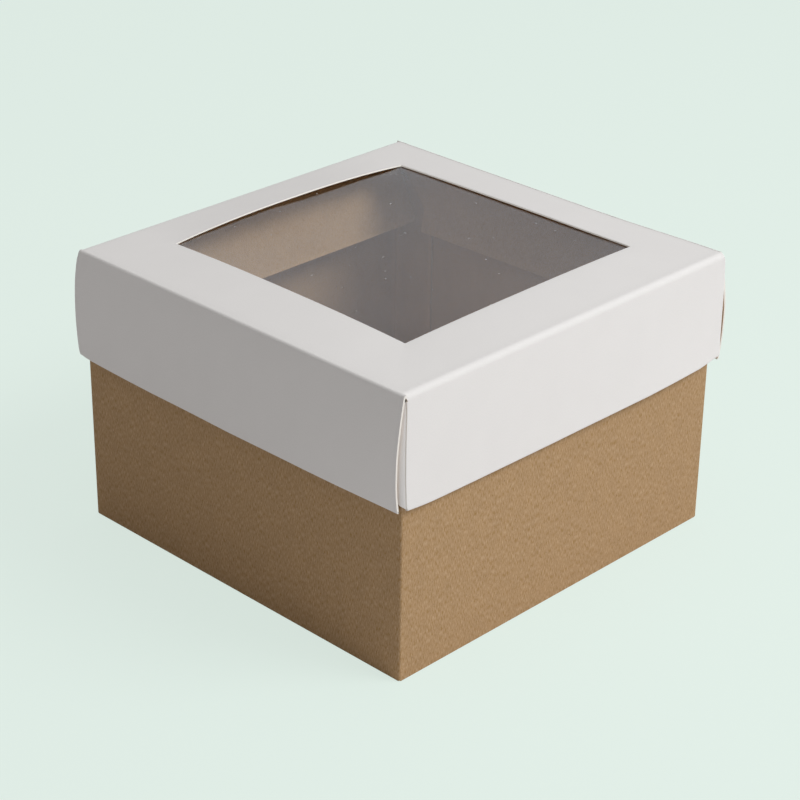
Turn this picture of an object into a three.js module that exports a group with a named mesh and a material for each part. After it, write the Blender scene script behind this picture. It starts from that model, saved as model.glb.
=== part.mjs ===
// A gift box folded from board: a brown kraft tray with a white lift-off lid that has a clear window.
// Millimetres, +Z up. The origin is the middle of the underside. The front is -Y, the right is +X.
// Each sheet of board is split at its creases, because the creases are its hinges.

import * as THREE from 'three';

const degree = Math.PI / 180;

// Whole box
const boxLength = 150; // outside of the tray, left to right
const boxWidth = 150; // outside of the tray, front to back
const closedHeight = 101; // from the table to the flat top of the lid

// Tray
const trayBoard = 0.6; // thickness of the brown board
const trayCorner = 1.7; // outside radius of the upright corners
const bottomFold = 0.8; // outside radius of the bottom creases
const rimFoldGap = 0.15; // between a wall and its flap where the rim doubles back
const rimCreaseGap = 0.05; // between the rolled rim and the top of its flap
const rimFlapDepth = 28.7; // from the rim crease to the free edge of a rim flap
const longFlapLean = 25 * degree; // the front and back rim flaps stand off their walls by this much
const shortFlapLean = 9 * degree; // and the left and right ones by this much
const rimCornerGap = 4; // from the box corner to the end of a long rim flap
const rimTipCut = 1.5; // small cut on the lower tips of the long rim flaps
const shoulderGap = 5; // from the box corner to the top end of a short rim flap
const shoulderStart = 6; // depth where the shoulder of a short rim flap starts
const shoulderRun = 13.5; // how much each shoulder takes off the flap's end
const shoulderDrop = 13; // height of the shoulder
const glueFlapWidth = 19; // flap behind the glued corner, from the inside of the back wall
const glueFlapTop = 10; // from the rim down to the flap's corner end
const glueFlapBottom = 3; // from the table up to the flap's corner end
const glueFlapTaper = 6; // extra cut of the flap's free end, top and bottom
const tuckFold = 0.8; // outside radius of the crease into the glue flap
const glueLine = 0.1; // thickness of the glued seam
const glueMargin = 2; // bare board round the glued seam
const cutEndGap = 0.1; // the right wall stops this far short of the back face

// Bottom of the tray, four flaps that lock into each other
const bottomPlyGap = 0.05; // air between two layers of bottom flap
const mitreDepth = 9.7; // corner cuts of the bottom flaps
const sideFlapDepth = 46; // reach of the left and right bottom flaps
const sideFlapTaper = 18; // how much narrower their free ends are
const lockBodyGap = 6; // from the middle of the box to the shoulder of the lock flap
const lockTabHalf = 20; // half width of the tab
const lockTabEntry = 6; // past the middle, where the tab comes out on top
const lockTabLap = 8; // length of the tab that lies on the slot flap
const lockShoulderSlope = 2; // run of the angled shoulder
const slotOverlap = 12; // reach of the slot flap past the middle of the box
const slotClearance = 4; // from the tab to the side of the slot

// Lid
const lidBoard = 0.5; // thickness of the white board
const lidSkirt = 40.7; // height of the lid's walls
const lidRimGap = 0.2; // between the tray's rim and the underside of the lid
const lidClearance = 0.2; // between the tray's walls and the lid's inner panels
const foldedPlyGap = 0.2; // between the two layers of the front and back walls
const cornerFlapGap = 0.1; // between a corner flap and the inner panel behind it
const frontTopFold = 1.6; // outside radius of the top creases, front and back
const sideTopFold = 0.9; // outside radius of the top creases, left and right
const lidCorner = 1.5; // outside radius of the upright creases
const sideSplay = 9.4 * degree; // the side walls start off leaning out by this much
const sideTuckIn = 5.1 * degree; // and end leaning back in by this much
const sideNub = 1.45; // thickness of the rolled bottom edge of the side walls
const sideEndTaper = 1.1; // the free ends of the side walls draw in towards the bottom
const innerPanelTop = 6; // from the top of the lid to the top of the inner panels
const innerPanelEnd = 0.3; // the front and back inner panels stop this far short of the upright crease
const innerPanelMitre = 3.7; // cut ends of the side inner panels
const innerPanelMitreRise = 3;
const innerPanelLean = 15 * degree; // lean of the side inner panels just above the rolled edge
const innerPanelEase = 3; // radius where that lean straightens
const cornerFlapLength = 30; // corner flap, from its crease to its free end
const cornerFlapRaise = 1; // its lower edge stays this far above the lid's edge
const cornerHoleHeight = 0.2; // open corner between the top crease and the upright crease
const cornerFlapStep = 0.2; // run of the cut on top of it that clears the side wall's top crease
const cornerFlapCut = 6.2; // height of the cut under it that clears the side's inner panel
const cornerFlapCutRun = 4.9; // run of that cut
const cornerFlapTip = 5; // cuts on its free end

// Window
const borderFront = 25.65; // board from each face of the lid to the window
const borderBack = 19.65;
const borderLeft = 26.85;
const borderRight = 18.45;
const bowFront = 0.95; // how far each edge of the window curls up at its middle
const bowBack = 2.3;
const bowLeft = 1;
const bowRight = 0.45;
const filmThickness = 0.2;
const filmLap = 10; // film past each edge of the window
const gluePadThickness = 0.1;
const gluePadSize = 5;
const gluePadInset = 2.5; // from the film's edges to the glue pad

// Levels and places that follow from the sizes above
const halfLength = boxLength / 2;
const halfWidth = boxWidth / 2;
const rimTop = closedHeight - lidBoard - lidRimGap;
const rimMiddleRadius = (trayBoard + rimFoldGap) / 2;
const rimCentreHeight = rimTop - trayBoard / 2 - rimMiddleRadius;
const rimFlapTop = rimCentreHeight - rimCreaseGap;
const rimPivotInset = trayBoard * 2 + rimFoldGap;
const lidMiddleHeight = closedHeight - lidBoard / 2;
const lidBottom = closedHeight - lidSkirt;
const innerPlyOffset = lidClearance + lidBoard / 2;
const outerPlyOffset = innerPlyOffset + lidBoard + foldedPlyGap;
const cornerFlapOffset = innerPlyOffset + lidBoard + cornerFlapGap;
const frontFoldMiddle = frontTopFold - lidBoard / 2;
const sideFoldMiddle = sideTopFold - lidBoard / 2;
const lidCornerMiddle = lidCorner - lidBoard / 2;
const topHalfX = halfLength + outerPlyOffset - sideFoldMiddle;
const topHalfY = halfWidth + outerPlyOffset - frontFoldMiddle;
const cornerFlapRoom = cornerFlapOffset + lidBoard + cornerFlapGap - outerPlyOffset;
const cornerFlapTopDrop = sideTopFold + 1.25 * cornerFlapRoom / Math.tan(sideSplay);
const cornerFlapHigh = closedHeight - cornerFlapTopDrop;
const cornerFlapLow = lidBottom + cornerFlapRaise;
const uprightCreaseTop = closedHeight - frontTopFold - cornerHoleHeight;
const lidFaceX = halfLength + outerPlyOffset + lidBoard / 2;
const lidFaceY = halfWidth + outerPlyOffset + lidBoard / 2;
const windowHalfX = lidFaceX - (borderLeft + borderRight) / 2;
const windowHalfY = lidFaceY - (borderFront + borderBack) / 2;
const windowMiddleX = (borderLeft - borderRight) / 2;
const windowMiddleY = (borderFront - borderBack) / 2;

// Smoothness of the bends
const rimSteps = 6;
const bottomSteps = 3;
const uprightSteps = 3;
const lidFoldSteps = 4;
const lidRollSteps = 6;
const bulgeSteps = 6;
const bowSteps = 8;

const sides = {
  front: {
    along: new THREE.Vector3(1, 0, 0),
    outward: new THREE.Vector3(0, -1, 0),
    face: halfWidth,
    span: halfLength,
  },
  right: {
    along: new THREE.Vector3(0, 1, 0),
    outward: new THREE.Vector3(1, 0, 0),
    face: halfLength,
    span: halfWidth,
  },
  back: {
    along: new THREE.Vector3(-1, 0, 0),
    outward: new THREE.Vector3(0, 1, 0),
    face: halfWidth,
    span: halfLength,
  },
  left: {
    along: new THREE.Vector3(0, -1, 0),
    outward: new THREE.Vector3(-1, 0, 0),
    face: halfLength,
    span: halfWidth,
  },
};

// Materials

function kraftBoard() {
  return new THREE.MeshStandardMaterial({ color: 0xb08d62, roughness: 0.9, metalness: 0 });
}

function whiteBoard() {
  return new THREE.MeshStandardMaterial({ color: 0xe4e2de, roughness: 0.7, metalness: 0 });
}

function clearFilm() {
  return new THREE.MeshStandardMaterial({
    color: 0xf2f6f5,
    roughness: 0.05,
    metalness: 0,
    transparent: true,
    opacity: 0.2,
  });
}

function driedGlue() {
  return new THREE.MeshStandardMaterial({ color: 0xe9dfc4, roughness: 0.5, metalness: 0 });
}

// Board

// A walk along the middle of a folded board, seen from its end: w runs outward and z up.
// The outer face of the board is on the left of the walk, and every bend turns right.
class FoldPath {
  constructor(w, z, heading) {
    this.points = [{ w, z, heading }];
  }

  get last() {
    return this.points[this.points.length - 1];
  }

  line(length) {
    const { w, z, heading } = this.last;
    this.points.push({
      w: w + length * Math.cos(heading),
      z: z + length * Math.sin(heading),
      heading,
    });
    return this;
  }

  bend(radius, angle, steps) {
    const { w, z, heading } = this.last;
    const centreW = w + radius * Math.sin(heading);
    const centreZ = z - radius * Math.cos(heading);
    for (let step = 1; step <= steps; step += 1) {
      const turned = heading - angle * step / steps;
      this.points.push({
        w: centreW - radius * Math.sin(turned),
        z: centreZ + radius * Math.cos(turned),
        heading: turned,
      });
    }
    return this;
  }

  // Hands over the board walked so far. The next piece starts at its last edge.
  cut() {
    const piece = this.points;
    this.points = [this.last];
    return piece;
  }
}

function onSide(side, u, w, z) {
  return new THREE.Vector3(0, 0, z)
    .addScaledVector(side.along, u)
    .addScaledVector(side.outward, w);
}

// One point of a folded board. A column may turn round an upright crease of the given radius.
function boardPoint(side, { w, z, heading }, { u, turn = 0, radius = 0 }) {
  const lift = -Math.sin(heading);
  return {
    at: onSide(side, u + radius * Math.sin(turn), w - radius * (1 - Math.cos(turn)), z),
    out: onSide(side, lift * Math.sin(turn), lift * Math.cos(turn), Math.cos(heading)),
  };
}

function boardRows(side, path, columnsAt) {
  return path.map((point, row) => columnsAt(point, row).map((column) => boardPoint(side, point, column)));
}

function straightColumns(places) {
  return places.map((u) => ({ u }));
}

// Columns that turn round an upright crease, in the order in which u grows
function turningColumns(u, radius, angle, steps) {
  const columns = [];
  for (let step = 1; step <= steps; step += 1) {
    columns.push({ u, radius, turn: angle * step / steps });
  }
  return u < 0 ? columns.reverse() : columns;
}

// A closed sheet from rows of middle points, each with the direction of its outer face.
// Cells that keep(row, column) turns down are left open and get a cut edge round them.
function boardGeometry(rows, thickness, keep = () => true) {
  const width = rows[0].length;
  const positions = [];
  const places = new Map();
  const triangles = [];

  function vertex(row, column, outer) {
    const key = (row * width + column) * 2 + (outer ? 1 : 0);
    if (!places.has(key)) {
      const { at, out } = rows[row][column];
      const point = at.clone().addScaledVector(out, (outer ? 0.5 : -0.5) * thickness);
      places.set(key, positions.length / 3);
      positions.push(point.x, point.y, point.z);
    }
    return places.get(key);
  }

  function quad(a, b, c, d) {
    triangles.push(a, b, c, a, c, d);
  }

  function isCell(row, column) {
    const inside = row >= 0 && column >= 0 && row < rows.length - 1 && column < width - 1;
    return inside && keep(row, column);
  }

  function cutEdge(rowA, columnA, rowB, columnB) {
    quad(
      vertex(rowA, columnA, false),
      vertex(rowB, columnB, false),
      vertex(rowB, columnB, true),
      vertex(rowA, columnA, true),
    );
  }

  for (let row = 0; row < rows.length - 1; row += 1) {
    for (let column = 0; column < width - 1; column += 1) {
      if (isCell(row, column)) {
        quad(
          vertex(row, column, true),
          vertex(row, column + 1, true),
          vertex(row + 1, column + 1, true),
          vertex(row + 1, column, true),
        );
        quad(
          vertex(row, column, false),
          vertex(row + 1, column, false),
          vertex(row + 1, column + 1, false),
          vertex(row, column + 1, false),
        );
        if (!isCell(row - 1, column)) cutEdge(row, column, row, column + 1);
        if (!isCell(row, column + 1)) cutEdge(row, column + 1, row + 1, column + 1);
        if (!isCell(row + 1, column)) cutEdge(row + 1, column + 1, row + 1, column);
        if (!isCell(row, column - 1)) cutEdge(row + 1, column, row, column);
      }
    }
  }

  const geometry = new THREE.BufferGeometry();
  geometry.setAttribute('position', new THREE.Float32BufferAttribute(positions, 3));
  geometry.setIndex(facesOutward(rows) ? triangles : triangles.reverse());
  geometry.computeVertexNormals();
  return geometry;
}

function facesOutward(rows) {
  const start = rows[0][0];
  const across = rows[0][1].at.clone().sub(start.at);
  const down = rows[1][0].at.clone().sub(start.at);
  return across.cross(down).dot(start.out) > 0;
}

function board(name, rows, thickness, material, keep) {
  const mesh = new THREE.Mesh(boardGeometry(rows, thickness, keep), material);
  mesh.name = name;
  return mesh;
}

// Tray

// Half the length of the rolled rim, which is also the hinge of the rim flap
function rimReach(name) {
  const gap = name === 'front' || name === 'back' ? rimCornerGap : shoulderGap;
  return sides[name].span - gap;
}

// The far end of each wall: most turn half way round the corner, where the next wall takes over
function wallEnds(name) {
  const { span } = sides[name];
  const radius = trayCorner - trayBoard / 2;
  const flat = span - trayCorner;
  const ends = {
    before: turningColumns(-flat, radius, -45 * degree, uprightSteps),
    after: turningColumns(flat, radius, 45 * degree, uprightSteps),
    flatBefore: -flat,
    flatAfter: flat,
  };
  if (name === 'right') {
    ends.after = [{ u: span - cutEndGap }];
  }
  if (name === 'back') {
    const tuckRadius = tuckFold - trayBoard / 2;
    const start = -(span - trayBoard * 1.5 - glueLine - tuckRadius);
    ends.before = turningColumns(start, tuckRadius, -90 * degree, uprightSteps * 2);
    ends.flatBefore = start;
  }
  return ends;
}

function trayWall(name) {
  const side = sides[name];
  const bottomRadius = bottomFold - trayBoard / 2;
  const path = new FoldPath(side.face - trayBoard / 2 - 2 * rimMiddleRadius, rimCentreHeight, 90 * degree)
    .bend(rimMiddleRadius, 180 * degree, rimSteps)
    .line(rimCentreHeight - bottomFold)
    .bend(bottomRadius, 90 * degree, bottomSteps)
    .cut();
  const ends = wallEnds(name);
  const reach = rimReach(name);
  const bottomReach = side.span - trayCorner;
  const columns = [
    ...ends.before,
    ...straightColumns([ends.flatBefore]),
    ...straightColumns(ends.flatBefore < -bottomReach ? [-bottomReach] : []),
    ...straightColumns([-reach, reach, ends.flatAfter]),
    ...ends.after,
  ];
  const spans = (column, limit) => [column, column + 1].every(
    (index) => !columns[index].turn && Math.abs(columns[index].u) <= limit + 1e-6,
  );
  function keep(row, column) {
    if (row < rimSteps) return spans(column, reach);
    if (row > rimSteps) return spans(column, bottomReach);
    return true;
  }
  return board(`tray_${name}_wall`, boardRows(side, path, () => columns), trayBoard, kraftBoard(), keep);
}

// The rim flap hangs from its top inner edge, which is its hinge line, and leans away from the wall
function rimFlap(name) {
  const side = sides[name];
  const reach = rimReach(name);
  const pivotW = side.face - rimPivotInset;
  const isLong = name === 'front' || name === 'back';
  const outline = isLong
    ? [
      { depth: 0, end: reach },
      { depth: rimFlapDepth - rimTipCut, end: reach },
      { depth: rimFlapDepth, end: reach - rimTipCut },
    ]
    : [
      { depth: 0, end: reach },
      { depth: shoulderStart, end: reach },
      { depth: shoulderStart + shoulderDrop, end: reach - shoulderRun },
      { depth: rimFlapDepth, end: reach - shoulderRun },
    ];
  const lean = isLong ? longFlapLean : shortFlapLean;
  const topW = pivotW + trayBoard / 2 * Math.cos(lean);
  const topZ = rimFlapTop - trayBoard / 2 * Math.sin(lean);
  const path = outline.map(({ depth }) => ({
    w: topW - depth * Math.sin(lean),
    z: topZ - depth * Math.cos(lean),
    heading: 90 * degree - lean,
  }));
  const rows = boardRows(side, path, (point, row) => straightColumns([-outline[row].end, outline[row].end]));
  return board(`tray_${name}_rim_flap`, rows, trayBoard, kraftBoard());
}

function glueFlapOutline(margin) {
  const start = halfWidth - trayBoard / 2 - (tuckFold - trayBoard / 2);
  const end = halfWidth - trayBoard - glueFlapWidth;
  return [
    { u: start - margin, low: glueFlapBottom + margin, high: rimTop - glueFlapTop - margin },
    {
      u: end + margin,
      low: glueFlapBottom + glueFlapTaper + margin,
      high: rimTop - glueFlapTop - glueFlapTaper - margin,
    },
  ];
}

function uprightSheet(name, side, w, outline, thickness, material) {
  const rows = ['high', 'low'].map((edge) => outline.map((corner) => ({
    at: onSide(side, corner.u, w, corner[edge]),
    out: side.outward,
  })));
  return board(name, rows, thickness, material);
}

function glueFlap() {
  const middle = halfLength - trayBoard - glueLine - trayBoard / 2;
  return uprightSheet('tray_glue_flap', sides.right, middle, glueFlapOutline(0), trayBoard, kraftBoard());
}

function seamGlue() {
  const middle = halfLength - trayBoard - glueLine / 2;
  const outline = glueFlapOutline(glueMargin);
  return uprightSheet('tray_seam_glue', sides.right, middle, outline, glueLine, driedGlue());
}

function plyHeight(level) {
  return trayBoard / 2 + level * (trayBoard + bottomPlyGap);
}

// The hinged end of a bottom flap: it starts at the crease and climbs to its own level
function bottomFlapStart(side, level) {
  const crease = side.face - bottomFold;
  const reach = side.span - trayCorner;
  return [
    { w: crease, z: plyHeight(0), reach },
    { w: crease - mitreDepth, z: plyHeight(level), reach: reach - mitreDepth },
  ];
}

function bottomFlapRows(side, stations, placesAt) {
  const path = stations.map(({ w, z }) => ({ w, z, heading: -180 * degree }));
  return boardRows(side, path, (point, row) => straightColumns(placesAt(stations[row].reach)));
}

function sideBottomFlap(name) {
  const side = sides[name];
  const stations = bottomFlapStart(side, 1);
  const { z, reach } = stations[1];
  stations.push({ w: side.face - sideFlapDepth, z, reach: reach - sideFlapTaper });
  const rows = bottomFlapRows(side, stations, (half) => [-half, half]);
  return board(`tray_${name}_bottom_flap`, rows, trayBoard, kraftBoard());
}

// The lock flap lies lowest, and its tab comes up through the slot and rests on the slot flap
function lockFlap() {
  const side = sides.front;
  const stations = bottomFlapStart(side, 0);
  const { z, reach } = stations[1];
  stations.push(
    { w: lockBodyGap + lockShoulderSlope, z, reach },
    { w: lockBodyGap, z, reach: lockTabHalf },
    { w: -lockTabEntry, z: plyHeight(3), reach: lockTabHalf },
    { w: -lockTabEntry - lockTabLap, z: plyHeight(3), reach: lockTabHalf - lockTabLap / 2 },
  );
  const rows = bottomFlapRows(side, stations, (half) => [-half, half]);
  return board('tray_lock_flap', rows, trayBoard, kraftBoard());
}

function slotFlap() {
  const side = sides.back;
  const slotHalf = lockTabHalf + slotClearance;
  const stations = bottomFlapStart(side, 2);
  const { z, reach } = stations[1];
  stations.push({ w: lockTabEntry, z, reach }, { w: -slotOverlap, z, reach });
  const rows = bottomFlapRows(side, stations, (half) => [-half, -slotHalf, slotHalf, half]);
  const keep = (row, column) => !(row === 2 && column === 1);
  return board('tray_slot_flap', rows, trayBoard, kraftBoard(), keep);
}

function tray() {
  const group = new THREE.Group();
  Object.keys(sides).forEach((name) => {
    group.add(trayWall(name), rimFlap(name));
  });
  group.add(glueFlap(), seamGlue());
  group.add(sideBottomFlap('left'), sideBottomFlap('right'), lockFlap(), slotFlap());
  return group;
}

// Lid

// How far the top panel curls up at a point: most at the middle of each edge of the window
function panelBow(x, y) {
  const fromX = x - windowMiddleX;
  const fromY = y - windowMiddleY;
  const crown = (share) => Math.max(0, 1 - share ** 2);
  const pastX = Math.abs(fromX) > windowHalfX;
  if (pastX && Math.abs(fromY) > windowHalfY) return 0;
  if (Math.abs(fromY) >= windowHalfY) {
    const edge = windowMiddleY + Math.sign(fromY) * windowHalfY;
    const ramp = (topHalfY - Math.abs(y)) / (topHalfY - Math.abs(edge));
    return (fromY < 0 ? bowFront : bowBack) * crown(fromX / windowHalfX) * ramp;
  }
  const edge = windowMiddleX + Math.sign(fromX) * windowHalfX;
  const ramp = (topHalfX - Math.abs(x)) / (topHalfX - Math.abs(edge));
  return (fromX < 0 ? bowLeft : bowRight) * crown(fromY / windowHalfY) * ramp;
}

function topPanelLines(half, windowHalf, windowMiddle) {
  const lines = [-half];
  for (let step = 0; step <= bowSteps; step += 1) {
    lines.push(windowMiddle - windowHalf + 2 * windowHalf * step / bowSteps);
  }
  lines.push(half);
  return lines;
}

function topPanel() {
  const upward = new THREE.Vector3(0, 0, 1);
  const across = topPanelLines(topHalfX, windowHalfX, windowMiddleX);
  const rows = topPanelLines(topHalfY, windowHalfY, windowMiddleY).map((y) => across.map((x) => ({
    at: new THREE.Vector3(x, y, lidMiddleHeight + panelBow(x, y)),
    out: upward,
  })));
  const inWindow = (cell) => cell > 0 && cell <= bowSteps;
  const keep = (row, column) => !(inWindow(row) && inWindow(column));
  return board('lid_top_panel', rows, lidBoard, whiteBoard(), keep);
}

// The front and back walls of the lid: down from the top, rolled at the bottom, and up again inside.
// Their ends turn round the upright creases into the corner flaps.
function lidFrontOrBack(name) {
  const side = sides[name];
  const rollRadius = (lidBoard + foldedPlyGap) / 2;
  const rollStart = lidBottom + lidBoard / 2 + rollRadius;
  const path = new FoldPath(topHalfY, lidMiddleHeight, 0).bend(frontFoldMiddle, 90 * degree, lidFoldSteps);
  path.line(path.last.z - uprightCreaseTop);
  path.line(uprightCreaseTop - cornerFlapLow);
  path.line(cornerFlapLow - rollStart);
  path.bend(rollRadius, 180 * degree, lidRollSteps);
  const wallPath = path.cut();
  const panelPath = path.line(closedHeight - innerPanelTop - rollStart).cut();

  const flat = side.span + cornerFlapOffset - lidCornerMiddle;
  const columns = [
    ...turningColumns(-flat, lidCornerMiddle, -90 * degree, lidFoldSteps),
    ...straightColumns([-flat, flat]),
    ...turningColumns(flat, lidCornerMiddle, 90 * degree, lidFoldSteps),
  ];
  const flapRow = lidFoldSteps + 1;
  const keep = (row, column) => column === lidFoldSteps || row === flapRow;
  const wallRows = boardRows(side, wallPath, () => columns);
  const panelEnd = flat - innerPanelEnd;
  const panelRows = boardRows(side, panelPath, (point, row) => straightColumns(
    row === 0 ? [-flat, flat] : [-panelEnd, panelEnd],
  ));
  return [
    board(`lid_${name}_wall`, wallRows, lidBoard, whiteBoard(), keep),
    board(`lid_${name}_inner_panel`, panelRows, lidBoard, whiteBoard()),
  ];
}

// The side walls of the lid end free at both corners and bulge outward over the corner flaps
function lidLeftOrRight(name) {
  const side = sides[name];
  const rollRadius = (sideNub - lidBoard) / 2;
  const path = new FoldPath(topHalfX, lidMiddleHeight, 0).bend(
    sideFoldMiddle,
    90 * degree - sideSplay,
    lidFoldSteps,
  );
  const rollTop = lidBottom + lidBoard / 2 + rollRadius * (1 - Math.sin(sideTuckIn));
  const bulgeRadius = (path.last.z - rollTop) / (Math.sin(sideSplay) + Math.sin(sideTuckIn));
  path.bend(bulgeRadius, sideSplay + sideTuckIn, bulgeSteps);
  path.bend(rollRadius, 180 * degree - sideTuckIn - innerPanelLean, lidRollSteps);
  const wallPath = path.cut();

  const panelMiddle = side.face + innerPlyOffset;
  const ease = innerPanelEase * (1 - Math.cos(innerPanelLean));
  path.line(innerPanelMitreRise);
  path.line((path.last.w - panelMiddle - ease) / Math.sin(innerPanelLean));
  path.bend(innerPanelEase, innerPanelLean, 2);
  path.line(closedHeight - innerPanelTop - path.last.z);
  const panelPath = path.cut();

  const wallTop = wallPath[0].z;
  const reachAt = ({ z }) => topHalfY - sideEndTaper * (wallTop - z) / (wallTop - lidBottom);
  const rollReach = reachAt(wallPath[wallPath.length - 1]);
  const wallRows = boardRows(side, wallPath, (point) => straightColumns([-reachAt(point), reachAt(point)]));
  const panelRows = boardRows(side, panelPath, (point, row) => {
    const reach = row === 0 ? rollReach : rollReach - innerPanelMitre;
    return straightColumns([-reach, reach]);
  });
  return [
    board(`lid_${name}_wall`, wallRows, lidBoard, whiteBoard()),
    board(`lid_${name}_inner_panel`, panelRows, lidBoard, whiteBoard()),
  ];
}

// A corner flap carries on from the end of the front or back wall and is trapped in the side wall
function cornerFlap(endName, sideName) {
  const side = sides[sideName];
  const towardEnd = sides[endName].outward.dot(side.along);
  const crease = sides[endName].face + outerPlyOffset - lidCornerMiddle;
  const tip = crease - cornerFlapLength;
  const cutLow = cornerFlapLow + cornerFlapCut;
  const stepLow = cornerFlapLow + cornerFlapCut * cornerFlapStep / cornerFlapCutRun;
  const outline = [
    { from: crease, low: cornerFlapLow, high: uprightCreaseTop },
    { from: crease - cornerFlapStep, low: stepLow, high: cornerFlapHigh },
    { from: crease - cornerFlapCutRun, low: cutLow, high: cornerFlapHigh },
    { from: tip + cornerFlapTip, low: cutLow, high: cornerFlapHigh },
    { from: tip, low: cutLow + cornerFlapTip, high: cornerFlapHigh - cornerFlapTip },
  ].map(({ from, low, high }) => ({ u: from * towardEnd, low, high }));
  return uprightSheet(
    `lid_corner_flap_${endName}_${sideName}`,
    side,
    side.face + cornerFlapOffset,
    outline,
    lidBoard,
    whiteBoard(),
  );
}

function flatBox(name, sizeX, sizeY, sizeZ, x, y, top, material) {
  const mesh = new THREE.Mesh(new THREE.BoxGeometry(sizeX, sizeY, sizeZ), material);
  mesh.position.set(x, y, top - sizeZ / 2);
  mesh.name = name;
  return mesh;
}

function windowFilm() {
  const sizeX = 2 * (windowHalfX + filmLap);
  const sizeY = 2 * (windowHalfY + filmLap);
  const top = closedHeight - lidBoard - gluePadThickness;
  return flatBox('window_film', sizeX, sizeY, filmThickness, windowMiddleX, windowMiddleY, top, clearFilm());
}

// The film hangs on a pad of glue at each corner, where the panel stays flat
function gluePads() {
  const pads = [];
  const pastWindow = filmLap - gluePadInset - gluePadSize / 2;
  const offsetX = windowHalfX + pastWindow;
  const offsetY = windowHalfY + pastWindow;
  ['front', 'back'].forEach((endName) => {
    ['left', 'right'].forEach((sideName) => {
      pads.push(flatBox(
        `film_glue_${endName}_${sideName}`,
        gluePadSize,
        gluePadSize,
        gluePadThickness,
        windowMiddleX + (sideName === 'left' ? -offsetX : offsetX),
        windowMiddleY + (endName === 'front' ? -offsetY : offsetY),
        closedHeight - lidBoard,
        driedGlue(),
      ));
    });
  });
  return pads;
}

function lid() {
  const group = new THREE.Group();
  group.add(topPanel(), windowFilm(), ...gluePads());
  ['front', 'back'].forEach((endName) => {
    group.add(...lidFrontOrBack(endName));
    group.add(cornerFlap(endName, 'left'), cornerFlap(endName, 'right'));
  });
  ['left', 'right'].forEach((name) => group.add(...lidLeftOrRight(name)));
  return group;
}

const giftBox = new THREE.Group();
giftBox.name = 'kraft_gift_box';
giftBox.add(tray(), lid());

export default giftBox;
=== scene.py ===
# A kraft gift box with a white window lid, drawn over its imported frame. Metres, +Z up.
# Board, film and flaps are sized in mm, and angles are in degrees.
import math

import bpy
from mathutils import Matrix, Vector


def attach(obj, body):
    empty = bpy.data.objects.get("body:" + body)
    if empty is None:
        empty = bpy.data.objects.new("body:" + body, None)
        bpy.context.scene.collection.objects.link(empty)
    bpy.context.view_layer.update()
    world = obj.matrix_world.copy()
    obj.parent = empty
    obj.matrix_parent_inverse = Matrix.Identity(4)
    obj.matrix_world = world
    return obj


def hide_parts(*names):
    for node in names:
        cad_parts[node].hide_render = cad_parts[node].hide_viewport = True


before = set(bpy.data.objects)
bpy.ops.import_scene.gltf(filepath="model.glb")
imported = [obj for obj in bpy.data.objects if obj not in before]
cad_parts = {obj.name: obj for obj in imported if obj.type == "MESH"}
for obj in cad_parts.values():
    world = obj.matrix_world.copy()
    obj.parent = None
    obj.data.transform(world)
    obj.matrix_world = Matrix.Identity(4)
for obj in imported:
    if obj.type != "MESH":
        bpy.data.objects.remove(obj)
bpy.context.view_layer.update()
mm = 0.001
degree = math.pi / 180
slack = 1e-6  # for comparing places
upward = Vector((0, 0, 1))


# Board sheets

box = {
    "half": 75,  # outside of the tray, both ways
    "height": 101,  # the flat top of the lid
    "rimTop": 100.3,
    "lidBottom": 60.3,
    "sharpFrom": 35,  # edges that bend more than this show as sharp
}

# Where each piece starts along its sheet, so that the grain differs
sheetStart = {
    "front": 0, "right": 150, "back": 300, "left": 450, "glueFlap": 620, "rimFlap": 700,
    "bottomFlap": 800, "lid": 0, "lining": 200, "tuck": 300,
}

sides = {
    "front": (Vector((1, 0, 0)), Vector((0, -1, 0))),  # along the side, and outward
    "right": (Vector((0, 1, 0)), Vector((1, 0, 0))),
    "back": (Vector((-1, 0, 0)), Vector((0, 1, 0))),
    "left": (Vector((0, -1, 0)), Vector((-1, 0, 0))),
}
square = ((-1, -1), (1, -1), (1, 1), (-1, 1))


# A walk along the middle of a folded board, seen from its end: w is outward and z up.
# The outer face is on the left of the walk, and every bend turns right.
class FoldPath:
    def __init__(self, w, z, heading):
        self.points = [(w, z, heading)]

    @property
    def last(self):
        return self.points[-1]

    def line(self, length, steps=1):
        w, z, heading = self.last
        for step in range(1, steps + 1):
            run = length * step / steps
            self.points.append((w + run * math.cos(heading), z + run * math.sin(heading), heading))
        return self

    def bend(self, radius, angle, steps):
        w, z, heading = self.last
        centreW = w + radius * math.sin(heading)
        centreZ = z - radius * math.cos(heading)
        for step in range(1, steps + 1):
            turned = heading - angle * step / steps
            self.points.append((
                centreW - radius * math.sin(turned), centreZ + radius * math.cos(turned), turned))
        return self

    def cut(self):
        piece = self.points
        self.points = [self.last]
        return piece


# One point of a folded board. A column may turn round an upright crease.
def boardPoint(side, point, column):
    along, outward = sides[side]
    w, z, heading = point
    u, turn, radius = column
    lift = -math.sin(heading)
    at = along * (u + radius * math.sin(turn)) + outward * (w - radius * (1 - math.cos(turn)))
    at.z = z
    out = along * (lift * math.sin(turn)) + outward * (lift * math.cos(turn))
    out.z = math.cos(heading)
    return at, out


def straight(places):
    return [(u, 0, 0) for u in places]


def spread(start, end, steps):
    return [start + (end - start) * step / steps for step in range(steps + 1)]


# A value read off a table of (place, value) pairs
def between(table, place):
    if place <= table[0][0]:
        return table[0][1]
    for (near, low), (far, high) in zip(table, table[1:]):
        if place <= far:
            return low + (high - low) * (place - near) / (far - near)
    return table[-1][1]


def smooth(share):
    share = min(1.0, max(0.0, share))
    return share * share * (3 - 2 * share)


# Columns round an upright crease, in the order in which u grows
def turning(u, radius, angle, steps):
    columns = [(u, angle * step / steps, radius) for step in range(1, steps + 1)]
    return columns[::-1] if u < 0 else columns


def boardRow(side, point, columns):
    return [boardPoint(side, point, column) for column in columns]


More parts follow.
